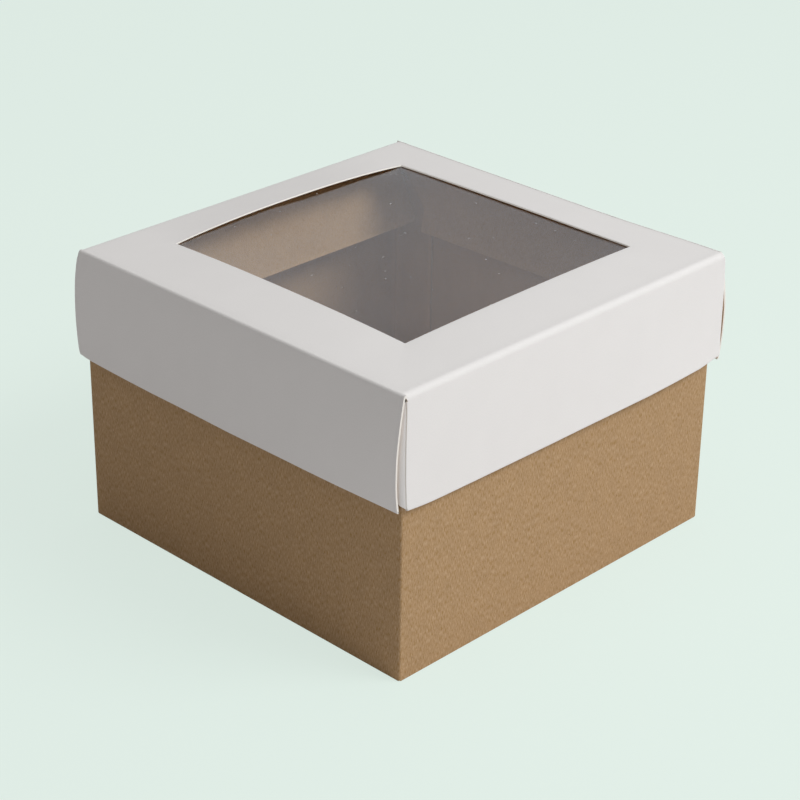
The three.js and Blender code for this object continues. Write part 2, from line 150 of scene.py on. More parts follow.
# A closed sheet from rows of middle points with the direction of the outer face.
# Material 0 is the outer face, 1 the inner face and 2 the cut edge.
def boardMesh(name, rows, thickness, finishes, keep=None, ring=False, shift=0):
    height, width = len(rows), len(rows[0])
    cells = width if ring else width - 1
    start, across, down = rows[0][0][0], rows[0][1][0], rows[1][0][0]
    forward = (across - start).cross(down - start).dot(rows[0][0][1]) > 0
    middleRow, middleColumn = rows[height // 2], width // 2
    alongSheet, downSheet = [0.0], [0.0]
    for column in range(1, width + 1):
        step = (middleRow[column % width][0] - middleRow[column - 1][0]).length
        alongSheet.append(alongSheet[-1] + step)
    for row in range(1, height):
        step = (rows[row][middleColumn][0] - rows[row - 1][middleColumn][0]).length
        downSheet.append(downSheet[-1] + step)

    vertices, places, faces, kinds, sheet = [], {}, [], [], []

    def vertex(row, column, outer):
        key = (row, column % width, outer)
        if key not in places:
            at, out = rows[row][column % width]
            places[key] = len(vertices)
            offset = thickness / 2 if outer else -thickness / 2
            vertices.append((at + out.normalized() * offset) * mm)
        return places[key]

    def quad(corners, outerSides, kind):
        face = [vertex(row, column, outer) for (row, column), outer in zip(corners, outerSides)]
        spots = [((alongSheet[column] + shift) * mm, downSheet[row] * mm) for row, column in corners]
        if not forward:
            face, spots = face[::-1], spots[::-1]
        faces.append(face)
        kinds.append(kind)
        sheet.extend(spots)

    def isCell(row, column):
        if ring:
            column %= width
        inside = 0 <= row < height - 1 and 0 <= column < cells
        return inside and (keep is None or keep(row, column))

    for row in range(height - 1):
        for column in range(cells):
            if not isCell(row, column):
                continue
            a, b, c, d = (row, column), (row, column + 1), (row + 1, column + 1), (row + 1, column)
            quad((a, b, c, d), (True,) * 4, 0)
            quad((a, d, c, b), (False,) * 4, 1)
            for near, far, neighbour in (
                    (a, b, (row - 1, column)), (b, c, (row, column + 1)),
                    (c, d, (row + 1, column)), (d, a, (row, column - 1))):
                if not isCell(*neighbour):
                    quad((near, far, far, near), (False, False, True, True), 2)

    mesh = bpy.data.meshes.new(name)
    mesh.from_pydata(vertices, [], faces)
    layer = mesh.uv_layers.new(name="sheet")
    layer.data.foreach_set("uv", [value for spot in sheet for value in spot])
    for finish in finishes:
        mesh.materials.append(finish)
    mesh.polygons.foreach_set("material_index", kinds)
    mesh.polygons.foreach_set("use_smooth", [True] * len(faces))
    mesh.update()
    mesh.set_sharp_from_angle(angle=box["sharpFrom"] * degree)
    piece = bpy.data.objects.new(name, mesh)
    bpy.context.scene.collection.objects.link(piece)
    return piece


def fit(piece, body, slot, *nodes):
    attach(piece, body)
    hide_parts(*nodes)


# Finishes

def startMaterial(name):
    material = bpy.data.materials.new(name)
    material.use_nodes = True
    tree = material.node_tree
    return material, tree, tree.nodes["Principled BSDF"]


def addNode(tree, kind, settings=None, values=None, links=None):
    made = tree.nodes.new(kind)
    for key, value in (settings or {}).items():
        setattr(made, key, value)
    for key, value in (values or {}).items():
        made.inputs[key].default_value = value
    for key, socket in (links or {}).items():
        tree.links.new(socket, made.inputs[key])
    return made


def sheetPlace(tree):
    return addNode(tree, "ShaderNodeUVMap", {"uv_map": "sheet"}).outputs["UV"]


def objectPlace(tree):
    return addNode(tree, "ShaderNodeTexCoord").outputs["Object"]


# Noise with grains of the given sizes in mm, in the first and second direction of the sheet
def grain(tree, place, sizes, detail=2.0, roughness=0.5):
    scale = (1000 / sizes[0], 1000 / sizes[1], 1000 / sizes[-1])
    mapping = addNode(tree, "ShaderNodeMapping", values={"Scale": scale}, links={"Vector": place})
    texture = addNode(
        tree, "ShaderNodeTexNoise",
        values={"Scale": 1.0, "Detail": detail, "Roughness": roughness},
        links={"Vector": mapping.outputs["Vector"]})
    return texture.outputs["Fac"]


def ramp(tree, factor, stops):
    made = addNode(tree, "ShaderNodeValToRGB", links={"Fac": factor})
    elements = made.color_ramp.elements
    while len(elements) < len(stops):
        elements.new(0.5)
    for element, (position, colour) in zip(elements, stops):
        element.position = position
        element.color = (*colour, 1.0)
    return made.outputs["Color"]


def mixShaders(tree, factor, first, second):
    made = addNode(tree, "ShaderNodeMixShader", links={0: factor, 1: first, 2: second})
    return made.outputs["Shader"]


def blendColours(tree, factor, first, second, mode="MIX"):
    made = addNode(tree, "ShaderNodeMix", {"data_type": "RGBA", "blend_type": mode})
    for index, source in ((0, factor), (6, first), (7, second)):
        if isinstance(source, (int, float, tuple)):
            made.inputs[index].default_value = source
        else:
            tree.links.new(source, made.inputs[index])
    return made.outputs[2]


def rangeOf(tree, value, low, high, toLow, toHigh):
    made = addNode(
        tree, "ShaderNodeMapRange",
        values={"From Min": low, "From Max": high, "To Min": toLow, "To Max": toHigh},
        links={"Value": value})
    return made.outputs["Result"]


def tint(colour, factor):
    return tuple(channel * factor for channel in colour)


# Colour, roughness and relief of a surface, the last two from one noise
def dress(tree, shader, look, tone, noise):
    tree.links.new(tone, shader.inputs["Base Color"])
    roughness = rangeOf(tree, noise, 0.2, 0.8, *look["roughness"])
    tree.links.new(roughness, shader.inputs["Roughness"])
    bump = addNode(
        tree, "ShaderNodeBump", values={"Strength": look["bump"], "Distance": look["relief"]},
        links={"Height": noise})
    tree.links.new(bump.outputs["Normal"], shader.inputs["Normal"])


wearAndShade = {
    "spots": (1.2, 1.2, 1.2),
    "folded": (0.505, 0.56),  # how pointed the surface is where the wear and painted shade start and are full
    "least": 0.3,  # between the spots
}


# Folds are lighter or darker by one factor: lighter is rubbed wear, and darker is painted shade that
# dims the highlight on a fold
def foldWearAndShade(tree, tone, factor):
    pointed = addNode(tree, "ShaderNodeNewGeometry").outputs["Pointiness"]
    rubbed = grain(tree, objectPlace(tree), wearAndShade["spots"], 2.0, 0.6)
    amount = addNode(tree, "ShaderNodeMath", {"operation": "MULTIPLY"}, links={
        0: rangeOf(tree, pointed, *wearAndShade["folded"], 0.0, 1.0),
        1: rangeOf(tree, rubbed, 0.3, 0.6, wearAndShade["least"], 1.0)})
    change = blendColours(tree, amount.outputs[0], (1.0,) * 4, (factor,) * 3 + (1.0,))
    return blendColours(tree, 1.0, tone, change, "MULTIPLY")


kraftLook = {
    "colour": (0.462, 0.305, 0.162),
    "fibre": (0.3, 1.8),  # width and length of a fibre in mm
    "mottle": (0.35, 0.47, 0.82),  # how much lighter and darker the fibres are, by channel
    "clouds": (5, 9),  # size of the darker patches
    "cloudy": 0.94,  # how much of the colour a patch keeps
    "wornAndShaded": 0.10,  # how much lighter the folds are, as rubbed wear
    "fleck": (0.17, 0.10, 0.05),
    "fleckSize": (0.6, 1.1),
    "flecked": (0.73, 0.78),  # a higher start leaves fewer flecks
    "roughness": (0.62, 0.80),
    "sheen": 0.12,
    "bump": 0.6,
    "relief": 0.00004,  # in metres
}


def kraftFinish(name, look):
    material, tree, shader = startMaterial(name)
    place = sheetPlace(tree)
    fibres = grain(tree, place, look["fibre"], 3.0, 0.65)
    clouds = grain(tree, place, look["clouds"], 2.0, 0.5)
    dark, light = (
        tuple(channel * (1 + sign * part) for channel, part in zip(look["colour"], look["mottle"]))
        for sign in (-1, 1))
    tone = ramp(tree, fibres, [(0.25, dark), (0.5, look["colour"]), (0.75, light)])
    shade = ramp(tree, clouds, [(0.3, (look["cloudy"],) * 3), (0.7, (1.0,) * 3)])
    tone = blendColours(tree, 1.0, tone, shade, "MULTIPLY")
    tone = foldWearAndShade(tree, tone, 1 + look["wornAndShaded"])
    flecks = grain(tree, place, look["fleckSize"], 1.0, 0.4)
    flecked = rangeOf(tree, flecks, *look["flecked"], 0.0, 0.7)
    tone = blendColours(tree, flecked, tone, (*look["fleck"], 1.0))
    dress(tree, shader, look, tone, fibres)
    shader.inputs["Specular IOR Level"].default_value = look["sheen"]
    return material


whiteLook = {
    "colour": (0.865, 0.858, 0.843),
    "fine": (0.35, 0.5),  # size of the coating's speckle
    "clouds": (14, 20),
    "cloudy": 0.985,
    "speckled": 0.97,  # how much of the colour a speck keeps
    "wornAndShaded": 0.025,  # how much darker the folds are: painted shade that dims their highlight
    "roughness": (0.5, 0.62),
    "sheen": 0.25,
    "bump": 0.5,
    "relief": 0.00002,
}


def whiteFinish(name, look):
    material, tree, shader = startMaterial(name)
    place = sheetPlace(tree)
    fine = grain(tree, place, look["fine"], 2.0, 0.6)
    clouds = grain(tree, place, look["clouds"], 3.0, 0.5)
    tone = ramp(tree, clouds, [(0.3, tint(look["colour"], look["cloudy"])), (0.7, look["colour"])])
    speck = ramp(tree, fine, [(0.3, (look["speckled"],) * 3), (0.6, (1.0,) * 3)])
    tone = blendColours(tree, 1.0, tone, speck, "MULTIPLY")
    # Darker folds: painted shade that dims the highlight where the board bends
    tone = foldWearAndShade(tree, tone, 1 - look["wornAndShaded"])
    dress(tree, shader, look, tone, fine)
    shader.inputs["Specular IOR Level"].default_value = look["sheen"]
    return material


cutLook = {
    "colour": (0.93, 0.91, 0.85), "dark": 0.9, "grain": (0.25, 0.25, 0.12), "fineness": 0.6,
    "roughness": (0.75, 0.92), "bump": 0.7, "relief": 0.00006,
}
glueLook = {
    "colour": (0.62, 0.53, 0.36), "dark": 0.85, "grain": (1.6, 1.6, 1.6), "fineness": 0.5,
    "roughness": (0.3, 0.5), "bump": 0.6, "relief": 0.00005,
}


# Cut edges and dried glue: one colour with darker spots
def spottedFinish(name, look):
    material, tree, shader = startMaterial(name)
    spots = grain(tree, objectPlace(tree), look["grain"], 2.0, look["fineness"])
    tone = ramp(tree, spots, [(0.3, tint(look["colour"], look["dark"])), (0.7, look["colour"])])
    dress(tree, shader, look, tone, spots)
    return material


filmLook = {
    "tint": (0.985, 0.985, 0.985),
    "gloss": (0.02, 0.06),  # roughness of the clean and the smeared places
    "smears": (8, 14, 8),
    "glass": 1.5,
    "dust": (0.75, 0.75, 0.74),
    "speck": (1.1, 1.1, 1.1),
    "dusty": (0.87, 0.885),  # a higher start leaves fewer specks
}


def filmFinish(name, look):
    material, tree, shader = startMaterial(name)
    tree.nodes.remove(shader)
    place = objectPlace(tree)
    smears = grain(tree, place, look["smears"], 2.0, 0.5)
    clear = addNode(tree, "ShaderNodeBsdfTransparent", values={"Color": (*look["tint"], 1.0)})
    gloss = addNode(
        tree, "ShaderNodeBsdfGlossy", values={"Color": (1.0, 1.0, 1.0, 1.0)},
        links={"Roughness": rangeOf(tree, smears, 0.3, 0.7, *look["gloss"])})
    behind = addNode(tree, "ShaderNodeNewGeometry").outputs["Backfacing"]
    fresnel = addNode(  # the same sheen from above and from below
        tree, "ShaderNodeFresnel",
        links={"IOR": rangeOf(tree, behind, 0, 1, look["glass"], 1 / look["glass"])})
    sheen = mixShaders(tree, fresnel.outputs["Fac"], clear.outputs["BSDF"], gloss.outputs["BSDF"])
    specks = grain(tree, place, look["speck"], 0.0, 0.3)
    dust = addNode(tree, "ShaderNodeBsdfDiffuse", values={"Color": (*look["dust"], 1.0)})
    amount = rangeOf(tree, specks, *look["dusty"], 0.0, 0.5)
    dusty = mixShaders(tree, amount, sheen, dust.outputs["BSDF"])
    tree.links.new(dusty, tree.nodes["Material Output"].inputs["Surface"])
    return material


kraft = kraftFinish("kraft_board", kraftLook)
# Lighter copies of the kraft for the box's inside and its rim flaps, seen through the film: painted
# light that brightens the inside as if more light reached it
kraftInsidePaintedLight = kraftFinish("kraft_board_inside_painted_light", dict(
    kraftLook, colour=(0.53, 0.355, 0.195), mottle=(0.06, 0.08, 0.14), relief=0.00002))
kraftFoldedPaintedLight = kraftFinish("kraft_board_folded_in_painted_light", dict(
    kraftLook, colour=(0.495, 0.332, 0.182), mottle=(0.14, 0.19, 0.33)))
kraftCut = spottedFinish("kraft_cut_edge", dict(cutLook, colour=(0.47, 0.335, 0.19)))
white = whiteFinish("white_coated_board", whiteLook)
# The lid's own brown back, made lighter as painted light for the shaded gap that shows under the
# curled back edge of the window
lidInsidePaintedLight = kraftFinish("lid_brown_back_painted_light", dict(kraftLook, colour=(0.62, 0.45, 0.29)))
lidCut = spottedFinish("lid_cut_edge", cutLook)
glue = spottedFinish("dried_glue", glueLook)
film = filmFinish("clear_film", filmLook)
trayFinishes = (kraft, kraftInsidePaintedLight, kraftCut)
rimFinishes = (kraftFoldedPaintedLight, kraftInsidePaintedLight, kraftCut)
lidFinishes = (white, lidInsidePaintedLight, lidCut)
print("stage: finishes")


# Tray

tray = {
    "board": 0.6,
    "corner": 0.75,  # outside radius of the upright corners
    "bottomFold": 0.4,  # outside radius of the bottom creases
    "rimGap": 0.15,  # between a wall and its flap where the rim doubles back
    "creaseGap": 0.05,  # between the rolled rim and the top of its flap
    "cornerGap": {"front": 4, "back": 4, "left": 5, "right": 5},  # from a corner to the rolled rim
    "tuckFold": 0.5,  # the back wall turns round this into the glue flap
    "seamGap": 0.1,  # thickness of the glued seam
    "cutEndGap": 0.1,  # the right wall stops this far short of the back face
    "rimSteps": 12,
    "cornerSteps": 8,
    "wallSteps": (12, 8),  # along the wall and down it
    "bottomSteps": 6,
}
rimRadius = (tray["board"] + tray["rimGap"]) / 2
rimCentre = box["rimTop"] - tray["board"] / 2 - rimRadius
rimFlapTop = rimCentre - tray["creaseGap"]
rimPivot = box["half"] - 2 * tray["board"] - tray["rimGap"]


def trayPiece(part, rows, start, body="tray", finishes=trayFinishes, keep=None):
    piece = boardMesh(
        f"kraft_{part}", rows, tray["board"], finishes, keep, shift=sheetStart[start])
    fit(piece, body, "kraft_board", f"tray_{part}")


def trayWall(name):
    board, half = tray["board"], box["half"]
    radius, flat = tray["corner"] - board / 2, half - tray["corner"]
    before = turning(-flat, radius, -45 * degree, tray["cornerSteps"])
    after = turning(flat, radius, 45 * degree, tray["cornerSteps"])
    first = -flat
    if name == "right":
        after = [(half - tray["cutEndGap"], 0, 0)]
    if name == "back":
        tuck = tray["tuckFold"]
        first = -(half - board * 1.5 - tray["seamGap"] - tuck)
        before = turning(first, tuck, -90 * degree, tray["cornerSteps"])
    reach = half - tray["cornerGap"][name]
    alongSteps, downSteps = tray["wallSteps"]
    middle = spread(-reach, reach, alongSteps)
    columns = before + straight([first] + middle + [flat]) + after
    path = FoldPath(half - board / 2 - 2 * rimRadius, rimCentre, 90 * degree)
    path.bend(rimRadius, 180 * degree, tray["rimSteps"])
    path.line(rimCentre - tray["bottomFold"], downSteps)
    path.bend(tray["bottomFold"] - board / 2, 90 * degree, tray["bottomSteps"])
    points = path.cut()

    def spans(column, limit):
        return all(
            not columns[index][1] and abs(columns[index][0]) <= limit + slack
            for index in (column, column + 1))

    # The rolled rim and the bottom crease stop short of the corners
    def keep(row, column):
        if row < tray["rimSteps"]:
            return spans(column, reach)
        if row >= tray["rimSteps"] + downSteps:
            return spans(column, flat)
        return True

    rows = [boardRow(name, point, columns) for point in points]
    trayPiece(f"{name}_wall", rows, name, keep=keep)


rimFlap = {
    "depth": {"front": 28.7, "back": 28.4, "right": 28.1, "left": 28.7},
    "lean": {  # lean off the wall at the two ends and the middle, in degrees, along the side
        "front": (25, 25.5, 26),
        "back": (27.5, 25, 24.7),
        "right": (6.9, 7.4, 12.4),
        "left": (9, 9, 9),
    },
    "tipCut": 1.5,  # off the lower tips of the long flaps
    "shoulder": {"start": 6, "run": 14, "drop": 13},  # off the ends of the short flaps
    "stationStep": 3,
    "alongSteps": 16,
}


def rimFlapPiece(name):
    look = rimFlap
    isLong = name in ("front", "back")
    reach = box["half"] - tray["cornerGap"][name]
    depth, shoulder = look["depth"][name], look["shoulder"]
    if isLong:
        outline = [(0, reach), (depth - look["tipCut"], reach), (depth, reach - look["tipCut"])]
    else:
        low, start = reach - shoulder["run"], shoulder["start"]
        outline = [(0, reach), (start, reach), (start + shoulder["drop"], low), (depth, low)]
    stations = []
    for (depthA, endA), (depthB, endB) in zip(outline, outline[1:]):
        steps = max(1, round((depthB - depthA) / look["stationStep"]))
        for step in range(steps):
            share = step / steps
            stations.append((depthA + (depthB - depthA) * share, endA + (endB - endA) * share))
    stations.append(outline[-1])
    startLean, middleLean, endLean = look["lean"][name]
    rows = []
    for reachDown, end in stations:
        row = []
        for u in spread(-end, end, look["alongSteps"]):
            place = u / reach
            slope = (endLean - startLean) / 2
            curve = (startLean + endLean) / 2 - middleLean
            lean = (middleLean + slope * place + curve * place * place) * degree
            w = rimPivot + tray["board"] / 2 * math.cos(lean) - reachDown * math.sin(lean)
            z = rimFlapTop - tray["board"] / 2 * math.sin(lean) - reachDown * math.cos(lean)
            row.append(boardPoint(name, (w, z, 90 * degree - lean), (u, 0, 0)))
        rows.append(row)
    part = f"{name}_rim_flap"
    trayPiece(part, rows, "rimFlap", part, rimFinishes)


glueFlap = {
    "width": 19,
    "top": 10,  # from the rim down to its corner end
    "bottom": 3,  # from the table up to its corner end
    "taper": 6,
    "steps": (8, 10),  # along the wall and down it
}


def glueFlapPiece():
    board, half = tray["board"], box["half"]
    along, outward = sides["right"]
    start, end = half - board / 2 - tray["tuckFold"], half - board - glueFlap["width"]
    alongSteps, downSteps = glueFlap["steps"]
    columns = []
    for u in spread(start, end, alongSteps):
        share = (start - u) / (start - end)
        taper = glueFlap["taper"] * share
        columns.append((u, box["rimTop"] - glueFlap["top"] - taper, glueFlap["bottom"] + taper))
    w = half - board - tray["seamGap"] - board / 2
    rows = []
    for share in spread(0, 1, downSteps):
        rows.append([
            (along * u + outward * w + Vector((0, 0, high + (low - high) * share)), outward)
            for u, high, low in columns])
    trayPiece("glue_flap", rows, "glueFlap")


bottom = {
    "plyGap": 0.05,  # air between two layers
    "mitre": 9.7,  # corner cuts
    "sideDepth": 46, "sideTaper": 18,
    "bodyGap": 6,  # from the middle of the box to the shoulder of the lock flap
    "tabHalf": 20, "tabEntry": 6, "tabLap": 8, "shoulderSlope": 2,
    "overlap": 12,  # reach of the slot flap past the middle
    "clearance": 4,  # from the tab to the side of the slot
    "stationStep": 6, "alongSteps": 12,
}


def plyHeight(level):
    return tray["board"] / 2 + level * (tray["board"] + bottom["plyGap"])


# A bottom flap from its crease inwards: each station has a distance from the middle of the box,
# a height and the places of its points along the side
def bottomFlap(name, side, stations, keep=None):
    fine = []
    for (wA, zA, placesA), (wB, zB, placesB) in zip(stations, stations[1:]):
        steps = max(1, round(abs(wA - wB) / bottom["stationStep"]))
        for step in range(steps):
            share = step / steps
            places = [a + (b - a) * share for a, b in zip(placesA, placesB)]
            fine.append((wA + (wB - wA) * share, zA + (zB - zA) * smooth(share), places))
    fine.append(stations[-1])
    rows = [boardRow(side, (w, z, -180 * degree), straight(places)) for w, z, places in fine]
    trayPiece(f"{name}_flap", rows, "bottomFlap", keep=keep and keep(fine))


def bottomFlaps():
    half, mitre = box["half"], bottom["mitre"]
    crease, reach = half - tray["bottomFold"], half - tray["corner"]
    inner = reach - mitre

    def evenly(end):
        return spread(-end, end, bottom["alongSteps"])

    for name in ("left", "right"):
        bottomFlap(f"{name}_bottom", name, [
            (crease, plyHeight(0), evenly(reach)),
            (crease - mitre, plyHeight(1), evenly(inner)),
            (half - bottom["sideDepth"], plyHeight(1), evenly(inner - bottom["sideTaper"]))])
    tab = bottom["tabHalf"]
    bottomFlap("lock", "front", [
        (crease, plyHeight(0), evenly(reach)),
        (crease - mitre, plyHeight(0), evenly(inner)),
        (bottom["bodyGap"] + bottom["shoulderSlope"], plyHeight(0), evenly(inner)),
        (bottom["bodyGap"], plyHeight(0), evenly(tab)),
        (-bottom["tabEntry"], plyHeight(3), evenly(tab)),
        (-bottom["tabEntry"] - bottom["tabLap"], plyHeight(3), evenly(tab - bottom["tabLap"] / 2))])
    slot, third = tab + bottom["clearance"], bottom["alongSteps"] // 3

    def besideSlot(end):
        inside = spread(-slot, slot, third)
        return spread(-end, -slot, third) + inside[1:] + spread(slot, end, third)[1:]

    def slotCells(fine):
        def keep(row, column):
            return fine[row][0] > bottom["tabEntry"] + slack or not third <= column < 2 * third
        return keep

    bottomFlap("slot", "back", [
        (crease, plyHeight(0), besideSlot(reach)),
        (crease - mitre, plyHeight(2), besideSlot(inner)),
        (bottom["tabEntry"], plyHeight(2), besideSlot(inner)),
        (-bottom["overlap"], plyHeight(2), besideSlot(inner))], slotCells)


for sideName in sides:
    trayWall(sideName)
    rimFlapPiece(sideName)
glueFlapPiece()
bottomFlaps()
print("stage: tray")


# Lid

lid = {
    "board": 0.5,
    "sideBoard": 0.72,  # the side walls show their cut ends
    "innerOffset": 0.45,  # from the tray to the middle of the inner panels
    "outerOffset": 1.15,  # and to the middle of the outer walls
    "flapOffset": 0.42,  # and to the middle of the corner flaps
    "frontFold": 2.1,  # outside radius of the top's creases at the front and back
    "sideFold": 1.05,  # and at the two sides
    "corner": 0.5,  # middle radius of the upright creases
    "cornerTurn": 32,
    "creaseTop": 98.6,  # where the upright creases end
    "flapLow": 61.5,
    "innerTop": 95,
    "innerInset": 0.3,  # the front and back inner panels narrow toward their top
    "rollGap": 0.2,  # inside the rolled lower edge of the front and back walls
    "frontSteps": {"fold": 10, "height": 12, "roll": 10, "inner": 8, "corner": 6},
    "nub": 0.9,  # thickness of the rolled lower edge of the side walls
    "splay": 9.4,  # the side walls start outward at this angle
    "tuckIn": 5.1,  # and end inward at this one
    # The side walls' inner panels lean in, and then stand along the tray
    "sideInner": {"start": 3, "lean": 15, "fold": 3, "inset": 3.7},
    "sideSteps": {"fold": 8, "bulge": 16, "roll": 10, "inward": 3, "upright": 4, "inner": 5},
    # The right corner is pushed out, less so toward the lower edge
    "push": {"by": 1.8, "fromX": 35, "overX": 40, "fromY": 25, "overY": 50, "lower": 0.5},
    "leanSpan": (99, 38.5),  # walls lean more and more from this height, over this distance down
    "riseSpan": (69, 8.5),  # and their lower edges rise from here
    # Where the upright creases are, as (height, distance from the middle), at the start and the end
    "creases": {
        "front": (
            ((61, 74.4), (75, 74.7), (97, 74.3), (99, 74.6), (100.5, 75.5)),
            ((61, 77.9), (76, 78.2), (88, 78.5), (98, 78.0), (100.5, 77.5))),
        "back": (((61, 74.9), (99, 74.7), (100.5, 75.5)),) * 2,
    },
    # Free ends of the side walls, as (height, distance from the middle)
    "ends": {
        "left": (
            ((60, 75.2), (69, 75.4), (80, 75.9), (90, 76.3), (97, 76.2), (101, 75.3)),
            ((60, 75.2), (69, 75.2), (80, 75.6), (90, 76.2), (97, 76.5), (101, 76.6))),
        "right": (
            ((60, 75.3), (69, 75.9), (80, 76.2), (90, 75.8), (97, 74.9), (101, 74.8)),
            ((60, 74.6), (80, 75.0), (100, 75.8))),
    },
    # How far out each corner flap swells behind its crease, as (height, distance)
    "swell": {
        "left": ((61, 76.1), (70, 76.8), (80, 77.2), (88, 76.9), (94, 76.2), (98, 75.6)),
        "right": ((61, 77.6), (70, 78.4), (80, 78.9), (88, 78.9), (94, 78.7), (98, 78.3)),
        "behind": ((61, 76.2), (70, 76.8), (80, 77.2), (88, 76.9), (94, 76.2), (98, 75.6)),
    },
    # How far the bottom edge of each wall leans out and rises, as (place along the wall, distance)
    "lean": {
        "front": ((-76, 0.6), (-55, 0.3), (0, 0.7), (45, 1.35), (77, 0.8)),
        "back": ((-77, 0.3), (0, 0.8), (76, 0.4)),
        "left": ((-76, 0.4), (-40, 0.7), (0, 0.75), (45, 0.2), (76, -0.8)),
        "right": ((-76, 1.6), (-50, 0.8), (0, 0.2), (76, 0)),
    },
    # And how far it swells between its two edges
    "belly": {
        "front": ((-76, 0), (76, 0)),
        "back": ((-76, 0), (76, 0)),
        "left": ((-76, 0.3), (0, 0), (76, 0)),
        "right": ((-76, 0.5), (0, 0), (76, 0)),
    },
    "rise": {
        "front": (
            (-76, 1.75), (-72, 1.35), (-66, 0.7), (-58, 0.4), (-45, 0.25), (-10, 0.12), (19, 0.3),
            (32, 0.4), (44, 0.5), (56, 0.8), (68, 1.1), (77, 2.5)),
        "back": ((-76, 0.6), (-66, 0), (66, 0), (76, 0.6)),
        "left": (
            (-76, 3.1), (-71, 2.3), (-62, 2.0), (-50, 1.74), (-40, 1.6), (-19, 1.55), (0, 1.27),
            (23, 1.18), (44, 1.0), (76, 1.0)),
        "right": ((-76, 0), (76, 0)),
    },
}
topMiddle = box["height"] - lid["board"] / 2
topHalfX = box["half"] + lid["outerOffset"] - lid["sideFold"] + lid["board"] / 2
topHalfY = box["half"] + lid["outerOffset"] - lid["frontFold"] + lid["board"] / 2

window = {
    "half": 53.85, "middle": (4.2, 3.0), "corner": 0.3,
    "slant": 0.8,  # of the cut edge, which shows its core
    "bow": {"front": 0.62, "back": 2.3, "left": 0.97, "right": 0.45},  # each edge curls up by this
    "bowShape": 2.4,  # 2 is a plain arch, and more is flatter in the middle
    # How far up its corners stand: front left and right, back left and right
    "corners": ((-0.2, 0.33), (0.28, 0.03)),
    "fan": 8,  # each corner of the window spreads over this much of the outer edges
    "cornerSteps": 6, "edgeSteps": 28, "borderSteps": 10,
}


def crown(value):
    return max(0.0, 1 - abs(value / window["half"]) ** window["bowShape"])


def cornerLift(fromX, fromY):
    half = window["half"]
    shareX, shareY = (0.5 + 0.5 * min(1.0, max(-1.0, value / half)) for value in (fromX, fromY))
    front, back = (left + (right - left) * shareX for left, right in window["corners"])
    return front + (back - front) * shareY


# How far the top panel curls up: most at the middle of each edge of the window
def panelBow(x, y):
    half = window["half"]
    fromX, fromY = x - window["middle"][0], y - window["middle"][1]

    def side(value, limit, middle, bows):
        edge = middle + math.copysign(half, value)
        return (limit - abs(middle + value)) / (limit - abs(edge)), bows[value > 0]

    bow = window["bow"]
    rampY, bowY = side(fromY, topHalfY, window["middle"][1], (bow["front"], bow["back"]))
    rampX, bowX = side(fromX, topHalfX, window["middle"][0], (bow["left"], bow["right"]))
    lift = 0.0
    if abs(fromY) >= abs(fromX) or abs(fromY) >= half:
        lift = max(lift, bowY * crown(fromX) * min(1.0, rampY))
    if abs(fromX) > abs(fromY) or abs(fromX) >= half:
        lift = max(lift, bowX * crown(fromY) * min(1.0, rampX))
    return lift


def pushedOut(x, y):
    push = lid["push"]
    shareX, shareY = (x - push["fromX"]) / push["overX"], (-y - push["fromY"]) / push["overY"]
    return push["by"] * smooth(shareX) * smooth(shareY)


def shareBelow(height, span):
    return min(1.0, max(0.0, (span[0] - height) / span[1]))


# The walls of the lid don't hang quite straight
def settle(name, rows):
    along, outward = sides[name]
    settled = []
    for row in rows:
        moved = []
        for at, out in row:
            u = at.dot(along)
            depth, low = shareBelow(at.z, lid["leanSpan"]), shareBelow(at.z, lid["riseSpan"])
            shift = outward * (
                between(lid["lean"][name], u) * depth ** 2
                + between(lid["belly"][name], u) * 4 * depth * (1 - depth))
            if name == "right":
                shift += outward * (pushedOut(at.x, at.y) * (1 - lid["push"]["lower"] * depth))
            moved.append((at + shift + upward * (between(lid["rise"][name], u) * low ** 2), out))
        settled.append(moved)
    return settled


def lidPiece(name, node, rows, board=lid["board"], keep=None, start="lid", ring=False):
    piece = boardMesh(name, rows, board, lidFinishes, keep, ring, sheetStart[start])
    fit(piece, "lid", "white_board", node)


def topPanel():
    half, radius = window["half"], window["corner"]
    middle = Vector((*window["middle"], 0))
    inner, outer = [], []
    for index, (cornerX, cornerY) in enumerate(square):
        centre = middle + Vector((cornerX * (half - radius), cornerY * (half - radius), 0))
        start = (180 + 90 * index) * degree
        corner = Vector((cornerX * topHalfX, cornerY * topHalfY, 0))
        nextX, nextY = square[(index + 1) % 4]
        lastX, lastY = square[index - 1]
        ahead = Vector((nextX - cornerX, nextY - cornerY, 0)).normalized()
        behind = Vector((lastX - cornerX, lastY - cornerY, 0)).normalized()
        for step in range(window["cornerSteps"] + 1):
            share = step / window["cornerSteps"]
            angle = start + 90 * degree * share
            inner.append(centre + Vector((math.cos(angle), math.sin(angle), 0)) * radius)
            slide = window["fan"] * (share - 0.5)
            outer.append(corner + (ahead * slide if slide > 0 else behind * -slide))
        innerEnd = middle + Vector((nextX * half, nextY * half, 0)) - ahead * radius
        outerEnd = Vector((nextX * topHalfX, nextY * topHalfY, 0)) - ahead * (window["fan"] / 2)
        innerStart, outerStart = inner[-1], outer[-1]
        for step in range(1, window["edgeSteps"]):
            share = step / window["edgeSteps"]
            inner.append(innerStart.lerp(innerEnd, share))
            outer.append(outerStart.lerp(outerEnd, share))
    rows = []
    for step in range(window["borderSteps"] + 1):
        share = step / window["borderSteps"]
        row = []
        for near, far in zip(inner, outer):
            at = near.lerp(far, share)
            at.z = topMiddle + panelBow(at.x, at.y) * (1 if share < 1 else 0)
            at.z += cornerLift(near.x - middle.x, near.y - middle.y) * (1 - share)
            at.x += pushedOut(at.x, at.y)
            slant = (far - near).normalized() * (window["slant"] if step == 0 else 0)
            row.append((at, upward + slant))
        rows.append(row)
    lidPiece("lid_top", "lid_top_panel", rows, ring=True)


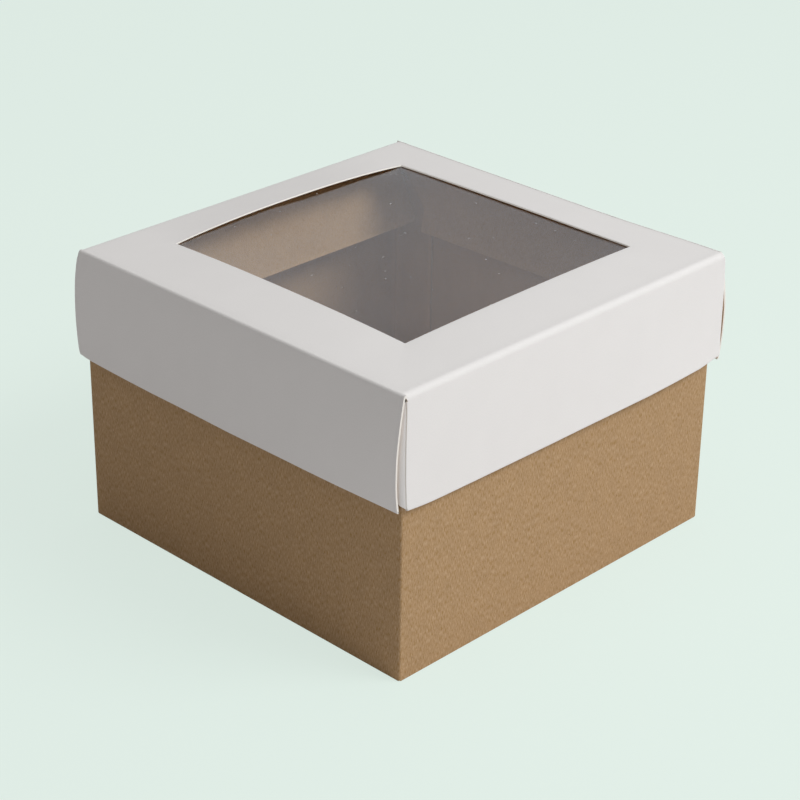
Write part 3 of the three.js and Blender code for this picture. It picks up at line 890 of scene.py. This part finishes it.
# Places along a wall, closer together near its ends
def wallPlaces(start, end):
    shares = (0, 0.01, 0.02, 0.04, 0.07, 0.11, 0.17, 0.25, 0.34, 0.42, 0.5)
    shares += tuple(1 - share for share in shares[-2::-1])
    return [start + (end - start) * share for share in shares]


# The front and back walls turn round the upright creases into the corner flaps
def lidFrontOrBack(name):
    board, steps = lid["board"], lid["frontSteps"]
    roll = (board + lid["rollGap"]) / 2
    rollStart = box["lidBottom"] + board / 2 + roll
    path = FoldPath(topHalfY, topMiddle, 0)
    path.bend(lid["frontFold"] - board / 2, 90 * degree, steps["fold"])
    path.line(path.last[1] - lid["creaseTop"])
    path.line(lid["creaseTop"] - lid["flapLow"], steps["height"])
    path.line(lid["flapLow"] - rollStart)
    path.bend(roll, 180 * degree, steps["roll"])
    wallPath = path.cut()
    path.line(lid["innerTop"] - rollStart, steps["inner"])
    panelPath = path.cut()
    startCrease, endCrease = lid["creases"][name]
    turn, around = lid["cornerTurn"] * degree, steps["corner"]
    rows = []
    for point in wallPath:
        start, end = -between(startCrease, point[1]), between(endCrease, point[1])
        columns = turning(start, lid["corner"], -turn, around)
        columns += straight(wallPlaces(start, end))
        columns += turning(end, lid["corner"], turn, around)
        rows.append(boardRow(name, point, columns))

    # The board turns the corners only between the top and the bottom of the corner flaps
    def keep(row, column):
        upright = 0 <= row - steps["fold"] - 1 < steps["height"]
        return upright or around <= column < len(rows[0]) - around - 1

    lidPiece(f"lid_{name}_skirt", f"lid_{name}_wall", settle(name, rows), keep=keep)
    panelRows = []
    limit = box["half"]
    for index, point in enumerate(panelPath):
        inset = lid["innerInset"] * index / (len(panelPath) - 1)
        start, end = -between(startCrease, point[1]) + inset, between(endCrease, point[1]) - inset
        places = [max(-limit, min(limit, u)) if index else u for u in wallPlaces(start, end)]
        panelRows.append(boardRow(name, point, straight(places)))
    lidPiece(
        f"lid_{name}_lining", f"lid_{name}_inner_panel", settle(name, panelRows), start="lining")


# The left and right walls end free at both corners and bulge outward over the corner flaps
def lidLeftOrRight(name):
    board, inner, steps = lid["sideBoard"], lid["sideInner"], lid["sideSteps"]
    roll = (lid["nub"] - board) / 2
    splay, tuckIn, lean = (angle * degree for angle in (lid["splay"], lid["tuckIn"], inner["lean"]))
    path = FoldPath(topHalfX, topMiddle, 0)
    path.bend(lid["sideFold"] - lid["board"] / 2, 90 * degree - splay, steps["fold"])
    rollTop = box["lidBottom"] + board / 2 + roll * (1 - math.sin(tuckIn))
    bulge = (path.last[1] - rollTop) / (math.sin(splay) + math.sin(tuckIn))
    path.bend(bulge, splay + tuckIn, steps["bulge"])
    path.bend(roll, 180 * degree - tuckIn - lean, steps["roll"])
    wallPath = path.cut()
    path.line(inner["start"])
    ease, upright = inner["fold"] * (1 - math.cos(lean)), box["half"] + lid["innerOffset"]
    path.line((path.last[0] - upright - ease) / math.sin(lean), steps["inward"])
    path.bend(inner["fold"], lean, steps["upright"])
    path.line(lid["innerTop"] - path.last[1], steps["inner"])
    panelPath = path.cut()
    startEnd, endEnd = lid["ends"][name]
    rows = []
    for point in wallPath:
        places = wallPlaces(-between(startEnd, point[1]), between(endEnd, point[1]))
        rows.append(boardRow(name, point, straight(places)))
    lidPiece(f"lid_{name}_skirt", f"lid_{name}_wall", settle(name, rows), board)
    low = wallPath[-1][1]
    panelRows = []
    for index, point in enumerate(panelPath):
        inset = inner["inset"] if index else 0
        places = wallPlaces(-between(startEnd, low) + inset, between(endEnd, low) - inset)
        panelRows.append(boardRow(name, point, straight(places)))
    lidPiece(
        f"lid_{name}_lining", f"lid_{name}_inner_panel", settle(name, panelRows), start="lining")


cornerFlap = {
    "length": 30,
    "top": 98.2,
    "tip": 5, "tipDrop": 1,
    "lowerCut": 6.2,
    # Its lower edge, as (distance from the crease, height above the crease's end)
    "foot": (
        (0.3, 0.4), (0.7, 0.9), (1.2, 1.4), (1.8, 2.2), (2.4, 3), (3.4, 4.2), (4.9, 6.2),
        (10, 6.2), (17, 6.2)),
    "creaseReadTo": 98,  # above this height it goes straight up
    "curve": 2.4,  # 1 goes straight out to its swell, and more eases into it
    "settles": 22,  # how long it takes from the swell to the tray
    "heightSteps": 12,
}


# Each corner flap goes on slanting from its crease, swells inside the side wall, and then lies
# on the tray
def cornerFlapPiece(endName, sideName):
    along, outward = sides[sideName]
    towardEnd = sides[endName][1].dot(along)
    atStart = sides[endName][0].dot(outward) < 0
    crease = lid["creases"][endName][0 if atStart else 1]
    turn, curve = lid["cornerTurn"] * degree, cornerFlap["curve"]
    start = topHalfY + lid["frontFold"] - lid["board"] / 2 - lid["corner"] * (1 - math.cos(turn))
    swell = lid["swell"]["behind" if endName == "back" else sideName]
    low, cut, top = lid["flapLow"], cornerFlap["lowerCut"], cornerFlap["top"]
    length, tip = cornerFlap["length"], cornerFlap["tip"]
    flat = box["half"] + lid["flapOffset"]
    outline = [(0, low, lid["creaseTop"])]
    outline += [(run, low + rise, top) for run, rise in cornerFlap["foot"]]
    outline += [
        (length - tip, low + cut, top - cornerFlap["tipDrop"]),
        (length, low + cut + tip, top - tip)]
    rows = []
    for share in spread(0, 1, cornerFlap["heightSteps"]):
        row = []
        for run, foot, head in outline:
            z = head + (foot - head) * share
            first = between(crease, min(z, cornerFlap["creaseReadTo"]))
            first += lid["corner"] * math.sin(turn)
            peak = between(swell, z)
            reach = curve * (peak - first) * math.tan(turn)  # leaves the crease at its own slant
            if run < reach:
                w = peak - (peak - first) * (1 - run / reach) ** curve
            else:
                w = flat + (peak - flat) * (1 - smooth((run - reach) / cornerFlap["settles"]))
            at = along * ((start - run) * towardEnd) + outward * w + Vector((0, 0, z))
            row.append((at, outward))
        rows.append(row)
    corner = f"{endName}_{sideName}"
    lidPiece(f"lid_{corner}_tuck", f"lid_corner_flap_{corner}", settle(endName, rows), start="tuck")


topPanel()
for sideName in ("front", "back"):
    lidFrontOrBack(sideName)
    cornerFlapPiece(sideName, "left")
    cornerFlapPiece(sideName, "right")
for sideName in ("left", "right"):
    lidLeftOrRight(sideName)
print("stage: lid")


# Window film: it hangs below the panel and follows part of its curl

filmSheet = {
    "thickness": 0.2, "top": 100.44, "lap": 10,
    "follow": 0.62,  # how much of the curl of an edge it follows
    "fade": 26,  # and how far into the window
    "steps": 40,
    # How far it stands up along the back edge, as (place along the edge, distance)
    "back": (
        (-54, 0), (-41, 0.93), (-27, 1.62), (-12, 1.94), (3, 1.56), (17, 1.31), (32, 1.02),
        (42, 0.53), (49, 0.17), (54, 0)),
}


def filmLift(x, y):
    half = window["half"]
    fromX, fromY = x - window["middle"][0], y - window["middle"][1]
    lift, near = 0.0, 1.0
    middleX, middleY = window["middle"]
    for value, other, limit, middle, names in (
            (fromY, fromX, topHalfY, middleY, ("front", "back")),
            (fromX, fromY, topHalfX, middleX, ("left", "right"))):
        for sign, name in zip((-1, 1), names):
            past = sign * value - half
            outer = limit - sign * middle - half
            if past > 0:
                ease = max(0.0, 1 - past / outer)
            else:
                ease = max(0.0, 1 + past / filmSheet["fade"]) ** 2
            rise = window["bow"][name] * crown(other) * filmSheet["follow"]
            if name == "back":
                rise = between(filmSheet["back"], other)
            lift += rise * ease
            near = min(near, ease if past > 0 else 1.0)
    return lift + cornerLift(fromX, fromY) * near


def filmPiece():
    half = window["half"] + filmSheet["lap"]
    middleX, middleY = window["middle"]
    level = filmSheet["top"] - filmSheet["thickness"] / 2
    placesX, placesY = (
        spread(middle - half, middle + half, filmSheet["steps"]) for middle in (middleX, middleY))
    rows = [
        [(Vector((x, y, level + filmLift(x, y))), upward) for x in placesX] for y in placesY]
    piece = boardMesh("clear_window_sheet", rows, filmSheet["thickness"], (film, film, film))
    fit(piece, "lid", "clear_film", "window_film")


filmPiece()


# Seam glue and glue pads keep their own shapes

def refinish(node, material):
    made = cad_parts[node]
    made.data.materials.clear()
    made.data.materials.append(material)


refinish("tray_seam_glue", glue)
for endName in ("front", "back"):
    for sideName in ("left", "right"):
        refinish(f"film_glue_{endName}_{sideName}", glue)
print("stage: film and glue")


# Floor, light and camera

studio = {
    "floorHalf": 4,  # in metres
    "shadeInset": 0.8,  # in mm, from the tray's faces to the part of the floor in its own shade
    "shadeRoughness": 0.9,
    "backdrop": (0.730, 0.831, 0.776),  # colour of the floor and background as seen
    "glow": 1.09,
    "floorShare": 0.20,  # how much of the floor's colour comes from light, which keeps the shadow
    "floorLight": (0.805, 0.80, 0.797),  # floor colour that lights the box
    "ambient": (0.372, 0.358, 0.353),
    "brighter": (0.75, -0.5, 0.43),  # the side of the room that most of it comes from
    "uneven": 0.7,
    "reflected": (0.57, 0.58, 0.605),  # what the box's sheen shows of the room
    "key": {  # in degrees, metres and watts
        "turn": 28, "height": 46, "distance": 1.4, "size": (0.825, 0.56), "power": 9.8,
        "target": (0, 0, 0.06), "colour": (1.0, 1.01, 1.02),
    },
}


# What a ray is for, and 1 where it is seen by the camera, also through the film
def seenRays(tree):
    path = addNode(tree, "ShaderNodeLightPath")
    seen = addNode(tree, "ShaderNodeMath", {"operation": "MAXIMUM"}, links={
        0: path.outputs["Is Camera Ray"], 1: path.outputs["Is Transmission Ray"]})
    return path, seen.outputs[0]


def direction(turn, height):
    return Vector((
        math.sin(turn) * math.cos(height), -math.cos(turn) * math.cos(height), math.sin(height)))


def makeFloor():
    mesh = bpy.data.meshes.new("floor")
    shaded = (box["half"] - studio["shadeInset"]) * mm  # the part that the box stands on
    mesh.from_pydata(
        [(x * half, y * half, 0) for half in (studio["floorHalf"], shaded) for x, y in square], [],
        [(0, 1, 5, 4), (1, 2, 6, 5), (2, 3, 7, 6), (3, 0, 4, 7), (4, 5, 6, 7)])
    floor = bpy.data.objects.new("floor", mesh)
    bpy.context.scene.collection.objects.link(floor)
    material, tree, shader = startMaterial("floor")
    tree.nodes.remove(shader)
    backdrop, floorLight = (*studio["backdrop"], 1.0), (*studio["floorLight"], 1.0)
    matt = addNode(tree, "ShaderNodeBsdfDiffuse", values={"Color": backdrop})
    glow = addNode(
        tree, "ShaderNodeEmission", values={"Color": backdrop, "Strength": studio["glow"]})
    lit = addNode(
        tree, "ShaderNodeMixShader", values={0: 1 - studio["floorShare"]},
        links={1: matt.outputs["BSDF"], 2: glow.outputs["Emission"]})
    other = addNode(tree, "ShaderNodeBsdfDiffuse", values={"Color": floorLight})
    seen = seenRays(tree)[1]
    both = mixShaders(tree, seen, other.outputs["BSDF"], lit.outputs["Shader"])
    tree.links.new(both, tree.nodes["Material Output"].inputs["Surface"])
    shade, _, shader = startMaterial("floor_under_the_box")
    shader.inputs["Base Color"].default_value = floorLight
    shader.inputs["Roughness"].default_value = studio["shadeRoughness"]
    mesh.materials.append(material)
    mesh.materials.append(shade)
    mesh.polygons[4].material_index = 1  # the shaded square


def makeWorld():
    world = bpy.data.worlds.new("studio")
    bpy.context.scene.world = world
    world.use_nodes = True
    tree = world.node_tree
    background = tree.nodes["Background"]
    path, seen = seenRays(tree)
    place = addNode(tree, "ShaderNodeTexCoord").outputs["Generated"]
    toward = addNode(
        tree, "ShaderNodeVectorMath", {"operation": "DOT_PRODUCT"},
        values={1: studio["brighter"]}, links={0: place})
    share = rangeOf(tree, toward.outputs["Value"], -1, 1, 0.0, 1.0)
    dark, light = (
        (*tint(studio["ambient"], 1 + sign * studio["uneven"]), 1.0) for sign in (-1, 1))
    room = blendColours(tree, share, dark, light)
    colour = blendColours(tree, path.outputs["Is Glossy Ray"], room, (*studio["reflected"], 1.0))
    colour = blendColours(tree, seen, colour, (*studio["backdrop"], 1.0))
    tree.links.new(colour, background.inputs["Color"])


def makeKey():
    key = studio["key"]
    toward = direction(key["turn"] * degree, key["height"] * degree)
    data = bpy.data.lights.new("key", "AREA")
    data.shape = "ELLIPSE"
    data.size, data.size_y = key["size"]
    data.energy = key["power"]
    data.color = key["colour"]
    lamp = bpy.data.objects.new("key", data)
    lamp.location = Vector(key["target"]) + toward * key["distance"]
    lamp.rotation_euler = (-toward).to_track_quat("-Z", "Y").to_euler()
    bpy.context.scene.collection.objects.link(lamp)


view = {  # angles in radians, distances in metres, lens and sensor in mm
    "azimuth": -0.799296309, "elevation": 0.466066721, "roll": 0.0129713086,
    "distance": 0.779245902, "target": (-0.000947677, -0.001590479, 0.046445022),
    "lens": 101.749, "sensor": 36, "shift": (0.0000538, -0.000156), "nearest": 0.01,
}


def makeCamera():
    back, roll = direction(view["azimuth"], view["elevation"]), view["roll"]
    right = (-back).cross(upward).normalized()
    up = right.cross(-back)
    rolledRight = right * math.cos(roll) + up * math.sin(roll)
    rolledUp = up * math.cos(roll) - right * math.sin(roll)
    data = bpy.data.cameras.new("camera")
    data.sensor_width = view["sensor"]
    data.lens = view["lens"]
    data.shift_x, data.shift_y = view["shift"]
    data.clip_start = view["nearest"]
    camera = bpy.data.objects.new("camera", data)
    pose = Matrix((rolledRight, rolledUp, back)).transposed().to_4x4()
    pose.translation = Vector(view["target"]) + back * view["distance"]
    camera.matrix_world = pose
    bpy.context.scene.collection.objects.link(camera)
    bpy.context.scene.camera = camera


makeFloor()
makeWorld()
makeKey()
makeCamera()
bpy.context.scene.view_settings.view_transform = "Standard"
print("stage: studio")
